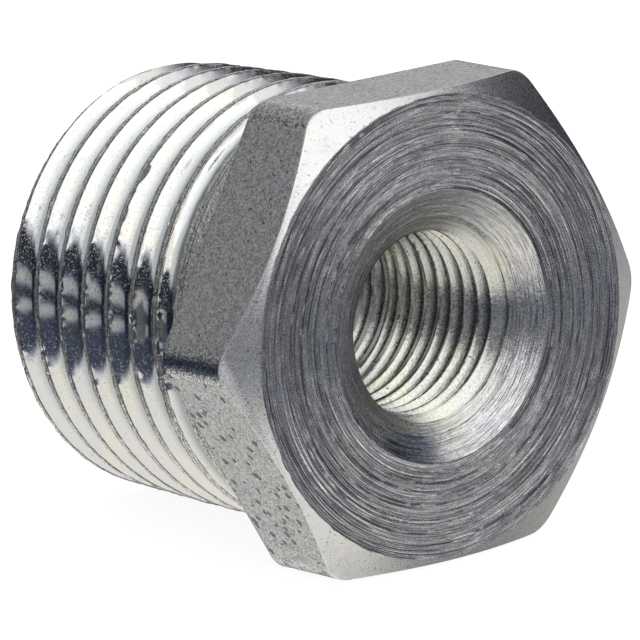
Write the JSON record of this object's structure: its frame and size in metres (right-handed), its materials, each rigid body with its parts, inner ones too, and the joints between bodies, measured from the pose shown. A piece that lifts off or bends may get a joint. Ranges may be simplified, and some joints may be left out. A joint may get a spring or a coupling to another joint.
{
  "type": "hexagon reducing pipe bushing",
  "caption": "Zinc-plated steel hexagon bushing with a taper male pipe thread outside and a smaller countersunk taper female thread inside.",
  "frame": {"origin": "on the pipe axis at the head's turned face", "axes": "+X along the pipe axis, out of the female port; +Z square to the upper wrench flat; +Y across two corners of the hexagon"},
  "size_m": [0.0199, 0.0252, 0.0222],
  "materials": {
    "head_zinc": "clear zinc plate over drawn flats and a coarsely turned face",
    "shank_zinc": "bright clear zinc plate over a cut thread",
    "port_zinc": "clear zinc plate over a turned countersink and a tapped bore, slightly yellow inside"
  },
  "bodies": {
    "root": {"hex_head": "head_zinc", "male_thread": "shank_zinc", "female_thread": "port_zinc"}
  },
  "joints": []
}
